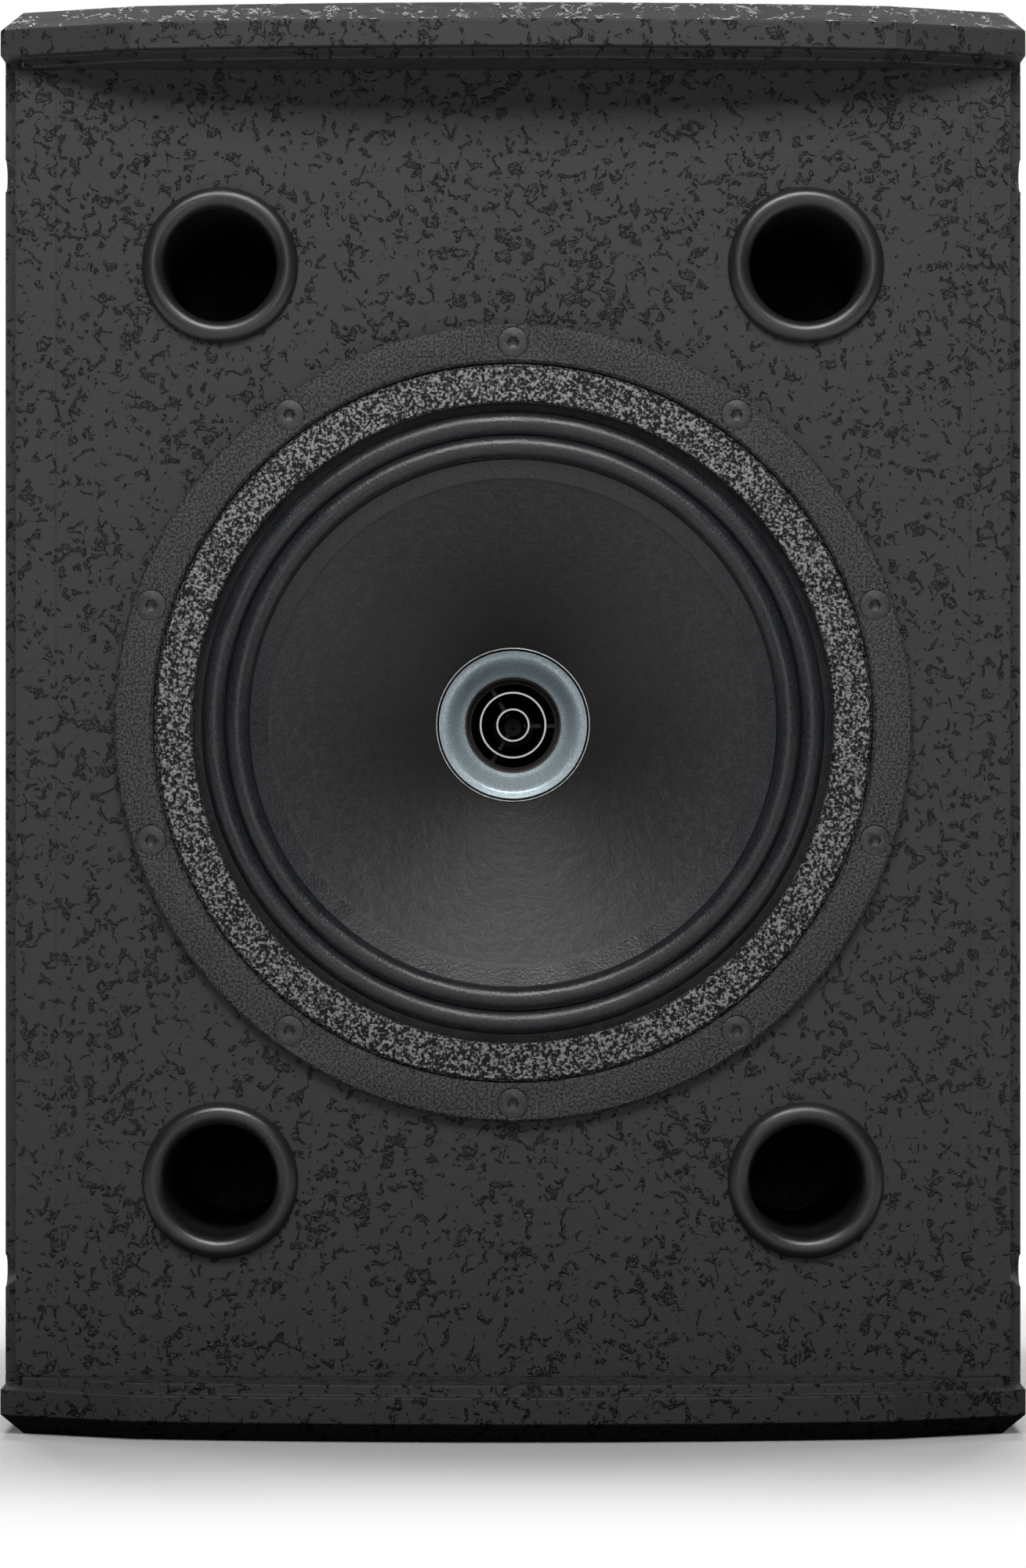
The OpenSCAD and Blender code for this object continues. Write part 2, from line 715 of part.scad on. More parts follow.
module input_plate() {
    color("#2a2a2a") difference() {
        union() {
            upright_slab(180, 108, 12, rear_panel_y + 1, 3, input_z);
            upright_slab(dish_w, dish_h, 10, dish_floor_y - dish_wall,
                rear_panel_y + 2 - dish_floor_y + dish_wall, input_z);
        }
        upright_slab(dish_w - 2 * dish_wall, dish_h - 2 * dish_wall, 7, dish_floor_y, 60, input_z);
        for (sx = [-1, 1]) {
            along_y(sx * socket_x, dish_floor_y - 10, input_z) cylinder(h = 20, r = 12.3);
            for (s = [-1, 1])
                along_y(sx * socket_x + s * 10.5, dish_floor_y - 10, input_z - s * 13)
                    cylinder(h = 20, r = 1.6);
        }
        along_y(0, dish_floor_y - 10, input_z) cylinder(h = 20, r = spindle_r + 0.4);
        input_screws_at() cylinder(h = 20, r = 2.2, center = true);
    }
}

module input_plate_gasket() {
    color("#111111") difference() {
        upright_slab(178, 106, 12, rear_panel_y, 1, input_z);
        upright_slab(dish_w + 0.6, dish_h + 0.6, 10.3, rear_panel_y - 1, 3, input_z);
        input_screws_at() cylinder(h = 20, r = 2.2, center = true);
    }
}

module input_plate_screws() {
    color("#191919") input_screws_at() {
        difference() {
            cylinder(h = 2.2, r = 4);
            translate([0, 0, 2.2]) cube([1.1, 4.6, 2.4], center = true);
            translate([0, 0, 2.2]) cube([4.6, 1.1, 2.4], center = true);
        }
        translate([0, 0, -17.5]) cylinder(h = 17.6, r = 1.75);
    }
}

module input_socket(x) {
    color("#20242c") difference() {
        union() {
            along_y(x, 102, input_z) cylinder(h = dish_floor_y - 102, r = 12);
            upright_socket_flange(x);
        }
        along_y(x, 112, input_z) cylinder(h = 40, r = 10.5);
        for (s = [-1, 1])
            along_y(x + s * 10.5, dish_floor_y - 1, input_z - s * 13) cylinder(h = 20, r = 1.6);
    }
}

module upright_socket_flange(x) {
    translate([x, dish_floor_y + 2.5, input_z]) rotate([90, 0, 0]) linear_extrude(2.5)
        rounded_rect(26, 31, 3);
}

module input_socket_left() {
    input_socket(-socket_x);
}

module input_socket_right() {
    input_socket(socket_x);
}

module socket_screws() {
    color("#b9b9b4") for (sx = [-1, 1], s = [-1, 1])
        along_y(sx * socket_x + s * 10.5, dish_floor_y - 6, input_z - s * 13) {
            cylinder(h = 8.7, r = 1.45);
            translate([0, 0, 8.5]) cylinder(h = 1.6, r = 2.6);
        }
}

module mode_switch_body() {
    color("#14202e") difference() {
        translate([-10, dish_floor_y - dish_wall - 16, input_z - 10]) cube([20, 16, 20]);
        along_y(0, dish_floor_y - 12, input_z) cylinder(h = 20, r = spindle_r + 0.06);
    }
}

module mode_switch_knob() {
    color("#191919") {
        difference() {
            along_y(0, dish_floor_y + 1, input_z) cylinder(h = 12, r = knob_r);
            translate([-0.9, dish_floor_y + 11, input_z]) cube([1.8, 4, knob_r + 1]);
            for (i = [0 : 17]) translate([0, 0, input_z]) rotate([0, i * 20 + 10, 0])
                along_y(knob_r + 0.4, dish_floor_y + 4, 0) cylinder(h = 12, r = 0.8, $fn = 16);
        }
        along_y(0, dish_floor_y - 11, input_z) cylinder(h = 13, r = spindle_r);
    }
}

// ---- handles and fittings ----

module handle_screws_at() {
    for (sy = [-1, 1], sz = [-1, 1])
        translate([half_w, handle_y + sy * 77, handle_z + sz * 42]) rotate([0, 90, 0]) children();
}

module side_handle() {
    color("#1b1b1b") {
        difference() {
            union() {
                side_slab(handle_w, handle_h, 16, half_w - 3, 3);
                side_slab(cup_w + 2 * cup_wall, cup_h + 2 * cup_wall, 20, half_w - cup_depth, cup_depth - 2);
            }
            side_slab(cup_w, cup_h, 17, half_w - cup_depth + cup_wall, cup_depth);
            handle_screws_at() {
                cylinder(h = 20, r = 2.3, center = true);
                translate([0, 0, -2.4]) cylinder(h = 2.41, r1 = 2.3, r2 = 4.6);
            }
        }
    }
}

// A grip bar that spans the cup from end to end
module side_handle_bar() {
    color("#222222") along_y(half_w - 13, handle_y - cup_w / 2, handle_z + 12) cylinder(h = cup_w, r = 10);
}

module left_handle_bar() {
    mirror([1, 0, 0]) side_handle_bar();
}

module right_handle_bar() {
    side_handle_bar();
}

module left_handle() {
    mirror([1, 0, 0]) side_handle();
}

module right_handle() {
    side_handle();
}

module side_handle_screws() {
    handle_screws_at() difference() {
        union() {
            translate([0, 0, -16]) cylinder(h = 15, r = 1.95);
            translate([0, 0, -2.4]) cylinder(h = 2.1, r1 = 1.9, r2 = 3.9);
        }
        translate([0, 0, -0.4]) cube([1, 4, 2.4], center = true);
        translate([0, 0, -0.4]) cube([4, 1, 2.4], center = true);
    }
}

module handle_screws() {
    color("#191919") {
        side_handle_screws();
        mirror([1, 0, 0]) side_handle_screws();
    }
}

// A threaded insert whose flange is flush with z = 0 and whose bore opens upwards
module rigging_insert() {
    difference() {
        union() {
            translate([0, 0, -2]) cylinder(h = 2, r = 12);
            translate([0, 0, -insert_len]) cylinder(h = insert_len - 1, r = 8);
        }
        translate([0, 0, -insert_len + 2]) cylinder(h = insert_len, r = rig_r);
    }
}

module rigging_inserts() {
    color("#77797b") {
        for (sx = [-1, 1]) {
            translate([sx * rig_x, rig_y, cabinet_h]) rigging_insert();
            translate([sx * rig_x, rig_y, 0]) mirror([0, 0, 1]) rigging_insert();
        }
        translate([half_w, rig_y, mid_z - 20]) rotate([0, 90, 0]) rigging_insert();
        translate([-half_w, rig_y, mid_z - 20]) rotate([0, -90, 0]) rigging_insert();
        translate([0, rear_panel_y, mid_z + 150]) rotate([-90, 0, 0]) rigging_insert();
    }
}

module grille_insert_pair() {
    for (sz = [-1, 1])
        along_x(inner_x + 2.2, shoulder_y, mid_z + sz * grille_z) difference() {
            cylinder(h = side_t - side_rebate_w - 2.4, r = 3);
            translate([0, 0, 2]) cylinder(h = side_t, r = 2.1);
        }
}

module grille_inserts() {
    color("#b08d4a") {
        grille_insert_pair();
        mirror([1, 0, 0]) grille_insert_pair();
    }
}

module pole_screws_at() {
    for (i = [0 : 3]) translate([0, pole_y, 0]) rotate([0, 0, 45 + 90 * i]) translate([35, 0, 0]) children();
}

module pole_socket() {
    color("#232323") difference() {
        union() {
            translate([0, pole_y, 0]) cylinder(h = 3, r = 45);
            translate([0, pole_y, 0]) cylinder(h = pole_len + 3, r = pole_r + 3);
        }
        translate([0, pole_y, -1]) cylinder(h = pole_len + 1, r = pole_r);
        pole_screws_at() {
            translate([0, 0, -1]) cylinder(h = 6, r = 2.4);
            translate([0, 0, -0.01]) cylinder(h = 2.4, r1 = 4.7, r2 = 2.4);
        }
    }
}

module pole_socket_screws() {
    color("#191919") pole_screws_at() difference() {
        union() {
            translate([0, 0, 0.4]) cylinder(h = 2, r1 = 4, r2 = 2);
            translate([0, 0, 1]) cylinder(h = 16, r = 1.9);
        }
        cube([1, 4, 3.2], center = true);
        cube([4, 1, 3.2], center = true);
    }
}

top_panel();
bottom_panel();
left_side_panel();
right_side_panel();
baffle();
rear_panel();
cross_brace();
glue_blocks();
damping_lining();
port_tube_top_left();
port_tube_top_right();
port_tube_bottom_left();
port_tube_bottom_right();
trim_ring();
trim_screws();
tee_nuts();
driver_frame();
surround();
cone();
coil_former();
voice_coil();
spider();
front_pole_plate();
magnet_ring();
pole_piece();
waveguide();
phase_plug();
hf_magnet();
hf_pole_plate();
hf_diaphragm();
hf_voice_coil();
hf_mount_ring();
hf_rear_cover();
hf_cover_screws();
driver_terminals();
tinsel_leads();
crossover_board();
board_standoffs();
crossover_coils();
crossover_capacitors();
crossover_resistors();
internal_wiring();
input_plate();
input_plate_gasket();
input_plate_screws();
input_socket_left();
input_socket_right();
socket_screws();
mode_switch_body();
mode_switch_knob();
left_handle();
right_handle();
left_handle_bar();
right_handle_bar();
handle_screws();
rigging_inserts();
grille_inserts();
pole_socket();
pole_socket_screws();
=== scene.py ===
import json
import math

import bpy
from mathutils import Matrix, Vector, noise
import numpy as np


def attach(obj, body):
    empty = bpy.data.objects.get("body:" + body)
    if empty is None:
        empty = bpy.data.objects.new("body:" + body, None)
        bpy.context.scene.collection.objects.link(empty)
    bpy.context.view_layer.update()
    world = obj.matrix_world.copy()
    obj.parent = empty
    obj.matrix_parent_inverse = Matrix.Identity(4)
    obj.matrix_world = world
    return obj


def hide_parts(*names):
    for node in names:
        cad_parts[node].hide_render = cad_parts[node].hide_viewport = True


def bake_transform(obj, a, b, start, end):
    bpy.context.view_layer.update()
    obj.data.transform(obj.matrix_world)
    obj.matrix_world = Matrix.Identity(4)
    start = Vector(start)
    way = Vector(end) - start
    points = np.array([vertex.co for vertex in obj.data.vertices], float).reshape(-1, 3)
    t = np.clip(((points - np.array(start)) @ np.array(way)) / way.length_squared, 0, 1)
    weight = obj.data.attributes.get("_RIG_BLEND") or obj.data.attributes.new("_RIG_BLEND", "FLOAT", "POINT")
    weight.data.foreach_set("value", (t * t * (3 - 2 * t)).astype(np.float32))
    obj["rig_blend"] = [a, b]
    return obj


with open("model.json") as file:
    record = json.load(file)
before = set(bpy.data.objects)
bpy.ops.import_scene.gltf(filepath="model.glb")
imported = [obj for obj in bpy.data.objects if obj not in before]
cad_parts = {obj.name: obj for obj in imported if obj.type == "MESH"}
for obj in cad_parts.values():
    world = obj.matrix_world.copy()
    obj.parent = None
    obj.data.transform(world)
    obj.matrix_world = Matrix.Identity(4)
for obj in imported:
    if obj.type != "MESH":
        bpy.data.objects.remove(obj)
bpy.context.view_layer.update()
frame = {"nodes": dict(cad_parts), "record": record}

cad = frame["nodes"]
print("frame loaded,", len(cad), "CAD pieces")

mm = 0.001
driverZ = 0.285  # height of the driver's axis, which runs along Y
baffleY = -0.133  # front face of the baffle
trimY = -0.138  # front face of the trim ring
seedSize = 0.0001  # the small plane that a lathe's profile is drawn from, in metres
weldGap = 0.000005  # points nearer than this become one
nearAxis = 0.01  # in mm: a profile that closes on its axis ends this far from it


# small tools that every piece uses
def onlySelect(piece):
    bpy.ops.object.select_all(action="DESELECT")
    piece.select_set(True)
    bpy.context.view_layer.objects.active = piece


def editing(on):
    bpy.ops.object.mode_set(mode="EDIT" if on else "OBJECT")


def applyModifier(piece, kind, **settings):
    onlySelect(piece)
    modifier = piece.modifiers.new(kind.title(), kind)
    for key, value in settings.items():
        setattr(modifier, key, value)
    bpy.ops.object.modifier_apply(modifier=modifier.name)


def settle(name):
    # names the active piece and puts its place into its mesh
    piece = bpy.context.object
    piece.name = piece.data.name = name
    onlySelect(piece)
    bpy.ops.object.transform_apply(location=True, rotation=True, scale=True)
    return piece


def lathe(name, profile, steps=192, axisX=0.0, axisZ=driverZ):
    # one point is drawn out along the profile of (radius, y) in mm, then spun round an axis along Y
    points = [Vector((axisX + r * mm, y * mm, axisZ)) for r, y in profile]
    bpy.ops.mesh.primitive_plane_add(size=seedSize, location=points[0])
    editing(True)
    bpy.ops.mesh.select_mode(type="VERT")  # an earlier piece may have left faces to be selected
    bpy.ops.mesh.select_all(action="SELECT")
    bpy.ops.mesh.merge(type="CENTER")
    for start, end in zip(points, points[1:]):
        bpy.ops.mesh.extrude_region_move(TRANSFORM_OT_translate={"value": end - start})
    bpy.ops.mesh.select_all(action="SELECT")
    bpy.ops.mesh.spin(steps=steps, angle=math.tau, center=(axisX, 0, axisZ), axis=(0, 1, 0))
    bpy.ops.mesh.select_all(action="SELECT")
    bpy.ops.mesh.remove_doubles(threshold=weldGap)
    bpy.ops.mesh.normals_make_consistent(inside=False)
    editing(False)
    return settle(name)


def smooth(piece, angle=30):
    onlySelect(piece)
    bpy.ops.object.shade_smooth_by_angle(angle=math.radians(angle))


def softened(name, node, width, limit=30, segments=2, smoothAngle=20):
    # a merged copy of a CAD piece with its sharp edges rounded over
    piece = bpy.data.objects.new(name, cad[node].data.copy())
    bpy.context.collection.objects.link(piece)
    onlySelect(piece)
    editing(True)
    bpy.ops.mesh.select_all(action="SELECT")
    bpy.ops.mesh.customdata_custom_splitnormals_clear()
    bpy.ops.mesh.remove_doubles(threshold=0.000002)
    bpy.ops.mesh.dissolve_limited(angle_limit=math.radians(0.15))
    editing(False)
    applyModifier(piece, "BEVEL", width=width * mm, segments=segments, limit_method="ANGLE",
                  angle_limit=math.radians(limit), miter_outer="MITER_ARC")
    smooth(piece, smoothAngle)
    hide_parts(node)
    return piece


def twin(piece, name, offset=(0, 0, 0)):
    # a copy with a mesh of its own, moved by an offset
    copy = piece.copy()
    copy.data = piece.data.copy()
    copy.name = copy.data.name = name
    bpy.context.collection.objects.link(copy)
    onlySelect(copy)
    bpy.ops.transform.translate(value=offset)
    bpy.ops.object.transform_apply(location=True)
    return copy


def finishPiece(piece, body, slot, *replaced):
    piece.data.materials.clear()
    piece.data.materials.append(finishes[slot])
    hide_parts(*replaced)
    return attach(piece, body)


# materials
def fromHex(colour):
    channels = [int(colour[i:i + 2], 16) / 255 for i in (0, 2, 4)]
    return [c / 12.92 if c <= 0.04045 else ((c + 0.055) / 1.055) ** 2.4 for c in channels] + [1]


def addNode(tree, kind, settings=None, links=None, **properties):
    node = tree.nodes.new("ShaderNode" + kind)
    for key, value in properties.items():
        setattr(node, key, value)
    for key, value in (settings or {}).items():
        node.inputs[key].default_value = value
    for key, source in (links or {}).items():
        tree.links.new(source, node.inputs[key])
    return node


def startMaterial(name):
    material = bpy.data.materials.new(name)
    material.use_nodes = True
    tree = material.node_tree
    tree.nodes.clear()
    return tree, addNode(tree, "TexCoord").outputs["Object"], material


def endMaterial(tree, settings, links):
    shader = addNode(tree, "BsdfPrincipled", settings, links)
    addNode(tree, "OutputMaterial", links={"Surface": shader.outputs[0]})


def grained(name, colour, shade, grain, depth, roughness, mottle=20.0, spread=0.06, contrast=(0.35, 0.65),
            stretch=(1, 1, 1), rings=None, **shaderSettings):
    # a finish with a fine grain: its size and depth in mm, two colours, and a slow drift in roughness
    tree, place, material = startMaterial(name)
    spot = addNode(tree, "Mapping", {"Scale": stretch}, {"Vector": place}).outputs[0]
    fine = addNode(tree, "TexNoise", {"Scale": 1 / (grain * mm), "Detail": 3, "Roughness": 0.6},
                   {"Vector": spot}).outputs[0]
    broad = addNode(tree, "TexNoise", {"Scale": 1 / (mottle * mm), "Detail": 2},
                    {"Vector": place}).outputs[0]
    if rings:  # turned grooves round the driver's axis, or the turns of a winding
        bands = {"Scale": 1 / (rings["pitch"] * mm) / 3.2, "Distortion": rings["wander"], "Detail": 1}
        wave = addNode(tree, "TexWave", bands, {"Vector": spot}, wave_type="BANDS",
                       bands_direction=rings["along"])
        fine = addNode(tree, "Mix", {0: rings["share"]}, {2: fine, 3: wave.outputs["Fac"]}).outputs[0]
    mask = addNode(tree, "MapRange", {"From Min": contrast[0], "From Max": contrast[1]},
                   {"Value": fine}).outputs[0]
    tint = addNode(tree, "Mix", {6: fromHex(colour), 7: fromHex(shade)}, {0: mask},
                   data_type="RGBA").outputs[2]
    rough = addNode(tree, "MapRange", {"From Min": 0.3, "From Max": 0.7, "To Min": roughness - spread,
                    "To Max": roughness + spread}, {"Value": broad}).outputs[0]
    bump = addNode(tree, "Bump", {"Strength": 1.0, "Distance": depth * mm}, {"Height": fine}).outputs[0]
    endMaterial(tree, shaderSettings, {"Base Color": tint, "Roughness": rough, "Normal": bump})
    return material


# sprayed polyurethane cabinet paint: a smooth satin film with raised, darker crumbs and worms on it
spatter = {"film": "2f2f30", "clot": "101011", "clotSize": 4.4, "patchSize": 34, "edge": (0.565, 0.58),
           "lump": 1.3, "ripple": 8, "height": 0.5, "roughness": 0.6, "clotRoughness": 0.45}


def spatterPaint(name):
    tree, place, material = startMaterial(name)
    wander = addNode(tree, "TexNoise", {"Scale": 1 / (spatter["clotSize"] * mm), "Detail": 4,
                     "Roughness": 0.55, "Distortion": 0.9}, {"Vector": place}).outputs[0]
    patch = addNode(tree, "TexNoise", {"Scale": 1 / (spatter["patchSize"] * mm), "Detail": 1},
                    {"Vector": place}).outputs[0]
    lean = addNode(tree, "MapRange", {"From Min": 0.3, "From Max": 0.7, "To Min": -0.03, "To Max": 0.03},
                   {"Value": patch}).outputs[0]
    level = addNode(tree, "Math", links={0: wander, 1: lean}, operation="ADD").outputs[0]
    low, high = spatter["edge"]
    clots = addNode(tree, "MapRange", {"From Min": low, "From Max": high}, {"Value": level},
                    interpolation_type="SMOOTHSTEP").outputs[0]
    dome = addNode(tree, "MapRange", {"From Min": low - 0.01, "From Max": high + 0.05}, {"Value": level},
                   interpolation_type="SMOOTHSTEP").outputs[0]
    lumps = addNode(tree, "TexNoise", {"Scale": 1 / (spatter["lump"] * mm), "Detail": 2},
                    {"Vector": place}).outputs[0]
    lumpy = addNode(tree, "MapRange", {"From Min": 0.3, "From Max": 0.7, "To Min": 0.5, "To Max": 1.3},
                    {"Value": lumps}).outputs[0]
    raised = addNode(tree, "Math", links={0: dome, 1: lumpy}, operation="MULTIPLY").outputs[0]
    flow = addNode(tree, "Mapping", {"Scale": (0.35, 0.35, 1)}, {"Vector": place}).outputs[0]
    ripple = addNode(tree, "TexNoise", {"Scale": 1 / (spatter["ripple"] * mm), "Detail": 4},
                     {"Vector": flow}).outputs[0]
    height = addNode(tree, "Math", {1: 0.45}, {0: ripple, 2: raised}, operation="MULTIPLY_ADD").outputs[0]
    tint = addNode(tree, "Mix", {6: fromHex(spatter["film"]), 7: fromHex(spatter["clot"])}, {0: clots},
                   data_type="RGBA").outputs[2]
    rough = addNode(tree, "MapRange", {"To Min": spatter["roughness"], "To Max": spatter["clotRoughness"]},
                    {"Value": clots}).outputs[0]
    bump = addNode(tree, "Bump", {"Strength": 1.0, "Distance": spatter["height"] * mm},
                   {"Height": height}).outputs[0]
    endMaterial(tree, {"IOR": 1.5, "Specular IOR Level": 0.4}, {"Base Color": tint, "Roughness": rough,
                "Normal": bump})
    return material


# dyed long-fibre pulp, pressed: short fibres lie every way and the surface is softly uneven
# the last three entries paint shade into the colour, darker towards the neck
paper = {"pulp": "212122", "fibre": "38383a", "fibreWidth": 0.9, "fibreLength": 5, "depth": 0.22,
         "roughness": 0.5, "darkFrom": 88, "darkTo": 36, "paintedNeckShade": "070707"}


def conePaper(name):
    tree, place, material = startMaterial(name)
    layers = []
    for turn in (12, 75, 141):
        lie = addNode(tree, "Mapping", {"Rotation": (0, math.radians(turn), 0), "Scale":
                      (paper["fibreLength"], 3, paper["fibreWidth"])}, {"Vector": place},
                      vector_type="TEXTURE").outputs[0]
        layers.append(addNode(tree, "TexNoise", {"Scale": 1 / mm, "Detail": 2, "Distortion": 0.6},
                              {"Vector": lie}).outputs[0])
    pair = addNode(tree, "Math", links={0: layers[0], 1: layers[1]}, operation="MAXIMUM").outputs[0]
    fibres = addNode(tree, "Math", links={0: pair, 1: layers[2]}, operation="MAXIMUM").outputs[0]
    mask = addNode(tree, "MapRange", {"From Min": 0.5, "From Max": 0.78}, {"Value": fibres}).outputs[0]
    pulp = addNode(tree, "Mix", {6: fromHex(paper["pulp"]), 7: fromHex(paper["fibre"])}, {0: mask},
                   data_type="RGBA").outputs[2]
    # painted shade: the colour darkens towards the neck, standing in for the shade deep inside the cone
    flat = addNode(tree, "VectorMath", {1: (0, 0, driverZ)}, {0: place}, operation="SUBTRACT").outputs[0]
    disc = addNode(tree, "VectorMath", {1: (1, 0, 1)}, {0: flat}, operation="MULTIPLY").outputs[0]
    radius = addNode(tree, "VectorMath", links={0: disc}, operation="LENGTH").outputs["Value"]
    neck = addNode(tree, "MapRange", {"From Min": paper["darkFrom"] * mm, "From Max": paper["darkTo"] * mm,
                   "To Max": 0.85}, {"Value": radius}).outputs[0]
    tint = addNode(tree, "Mix", {7: fromHex(paper["paintedNeckShade"])}, {0: neck, 6: pulp},
                   data_type="RGBA").outputs[2]
    cloud = addNode(tree, "TexNoise", {"Scale": 1 / (5 * mm), "Detail": 3}, {"Vector": place}).outputs[0]
    height = addNode(tree, "Math", {1: 1.2}, {0: cloud, 2: fibres}, operation="MULTIPLY_ADD").outputs[0]
    bump = addNode(tree, "Bump", {"Strength": 1.0, "Distance": paper["depth"] * mm},
                   {"Height": height}).outputs[0]
    endMaterial(tree, {"IOR": 1.45, "Roughness": paper["roughness"], "Sheen Weight": 0.15,
                "Sheen Roughness": 0.5}, {"Base Color": tint, "Normal": bump})
    return material


# blackened aluminium whose front edges were turned bright again
plug = {"black": "0b0b0c", "bright": "b9bbbd", "edgeY": -72.0, "edgeDepth": 0.5}


def plugMetal(name):
    tree, place, material = startMaterial(name)
    depth = addNode(tree, "SeparateXYZ", links={0: place}).outputs["Y"]
    edge = addNode(tree, "MapRange", {"From Min": (plug["edgeY"] + plug["edgeDepth"]) * mm,
                   "From Max": (plug["edgeY"] + 0.5 * plug["edgeDepth"]) * mm}, {"Value": depth}).outputs[0]
    tint = addNode(tree, "Mix", {6: fromHex(plug["black"]), 7: fromHex(plug["bright"])}, {0: edge},
                   data_type="RGBA").outputs[2]
    turned = addNode(tree, "TexNoise", {"Scale": 1 / (0.5 * mm), "Detail": 2}, {"Vector": place}).outputs[0]
    rough = addNode(tree, "MapRange", {"To Min": 0.32, "To Max": 0.46}, {"Value": turned}).outputs[0]
    bump = addNode(tree, "Bump", {"Strength": 1.0, "Distance": 0.00001}, {"Height": turned}).outputs[0]
    endMaterial(tree, {"Specular IOR Level": 0.35}, {"Base Color": tint, "Metallic": edge, "Roughness": rough,
                "Normal": bump})
    return material


finishes = {
    "textured_paint": spatterPaint("spatterPaint"),
    # rotary-cut birch and planed softwood: grain drawn out along the board
    "bare_plywood": grained("rotaryCutBirch", "c9a87a", "a9814f", 1.6, 0.05, 0.62, stretch=(0.08, 1, 1)),
    # carded polyester fibre: soft, matt and uneven; its near-black grey is painted shade, darkening the
    # cabinet's inside where it shows through the ports
    "polyester_wadding": grained("cardedPolyester", "2c2c2e", "1c1c1e", 3.5, 0.9, 0.9,
                                 **{"Sheen Weight": 0.4}),
    # injection-moulded ABS: a satin black with a spark-eroded grain, drawn at 0.7 mm so that it shows
    "port_moulding": grained("mouldedAbs", "262627", "131314", 0.7, 0.07, 0.35, IOR=1.6),
    # fine-texture polyester powder coat on steel: matt grey-black with dark pits, drawn at 1 mm
    "trim_powder_coat": grained("fineTexturePowderCoat", "464647", "0e0e0f", 1.0, 0.34, 0.6,
                                contrast=(0.42, 0.58), **{"Specular IOR Level": 0.35}),
    # black oxide on machined steel: a dark satin metal
    "blackened_steel": grained("blackOxideSteel", "4a4a4c", "2f2f31", 0.5, 0.02, 0.45, Metallic=0.5),
    # zinc-plated steel, bright and slightly cloudy
    "zinc_steel": grained("zincPlatedSteel", "b9bcbf", "8e9194", 1.5, 0.01, 0.3, Metallic=1.0),
    # coarse sand-texture powder coat on cast aluminium, drawn at 1.1 mm: black, with light flecks on the tips
    # that are painted highlights, the glint of the grain put into its colour
    "frame_powder_coat": grained("sandTexturePowderCoatPaintedGlints", "080808", "8c8d8e", 1.1, 0.5, 0.45,
                                 contrast=(0.48, 0.6), Metallic=0.6),
    # cotton doped with a rubbery black sealant: a soft shine over a slight unevenness, drawn at 1 mm
    "surround_cloth": grained("dopedCotton", "16171a", "2a2d30", 1.0, 0.16, 0.33, contrast=(0.4, 0.7)),
    "cone_paper": conePaper("pressedPulp"),
    # rolled aluminium foil, wound into a tube: a pale, softly brushed grey
    "former_foil": grained("rolledAluminiumFoil", "a9aaab", "8a8b8c", 2.0, 0.01, 0.35, Metallic=1.0),
    # enamelled round copper wire, its turns showing as fine grooves
    "copper_wire": grained("enamelledCopper", "c87a4a", "8a4a26", 0.6, 0.15, 0.32, Metallic=1.0,
                           rings={"pitch": 1.0, "wander": 0.3, "along": "Y", "share": 0.7}),
    # open-weave cotton dipped in phenolic resin: stiff, matt and amber
    "spider_cloth": grained("phenolicCotton", "c2a566", "8f7440", 0.8, 0.2, 0.7),
    # pressed and sintered ferrite, ground on its faces: dark grey with a dull gleam
    "ferrite": grained("sinteredFerrite", "3b3c40", "2a2b2e", 1.2, 0.03, 0.48, IOR=2.4),
    # turned aluminium under a blue-grey satin lacquer with a fine metal fleck
    "waveguide_lacquer": grained("satinFleckLacquer", "93a2a9", "b4c1c6", 0.8, 0.03, 0.4, Metallic=0.4,
                                 contrast=(0.4, 0.62)),
    # bare turned aluminium, dulled brown-grey where the lacquer stops
    "throat_edge": grained("dulledTurnedAluminium", "746a66", "5c5451", 0.6, 0.012, 0.4, Metallic=0.6),
    # blackened aluminium whose turned front edges are left bright
    "plug_metal": plugMetal("blackenedTurnedAluminium"),
    # thin drawn aluminium, anodised black: smooth and dark
    "diaphragm_metal": grained("blackAnodisedDome", "19191b", "0e0e10", 2.0, 0.01, 0.4, IOR=1.6),
    # glass-filled nylon: dull black with a faint pebble
    "black_plastic": grained("glassFilledNylon", "1e1e20", "131314", 0.9, 0.04, 0.47, IOR=1.53),
    # green solder resist over woven glass: glossy and flat
    "circuit_board": grained("solderResist", "1f5a33", "174425", 1.0, 0.02, 0.3, IOR=1.55),
    # blue polyester film wrap: smooth and glossy
    "capacitor_film": grained("polyesterWrap", "2f55a0", "244282", 3.0, 0.02, 0.28, IOR=1.6),
    # cement-filled fired ceramic: chalky off-white
    "resistor_cement": grained("firedCeramic", "e6e2d6", "cfc9b8", 0.8, 0.08, 0.75, IOR=1.6),
    # soft extruded PVC: dark red with a dull gloss
    "wire_insulation": grained("pvcInsulation", "a3161a", "7c0f12", 2.0, 0.02, 0.4, IOR=1.53),
    # satin powder coat on pressed steel: even black with a low sheen
    "plate_powder_coat": grained("satinPowderCoat", "262627", "191919", 0.8, 0.08, 0.48),
    # cut closed-cell neoprene foam: dead black and pitted
    "foam_gasket": grained("neopreneFoam", "1a1a1a", "0d0d0d", 1.0, 0.2, 0.85),
    # moulded polypropylene: satin black with a leather grain of 1.6 mm
    "handle_moulding": grained("leatherGrainPolypropylene", "202021", "151516", 1.6, 0.12, 0.5, IOR=1.49),
    # machined free-cutting brass: warm, bright and finely scored
    "insert_brass": grained("machinedBrass", "c9a561", "a6823f", 0.6, 0.02, 0.3, Metallic=1.0),
}
for part in frame["record"]["subparts"]:
    node = cad[part["node"]]
    node.material_slots[0].material = finishes[part["material_slot"]]
print("materials made:", len(finishes))


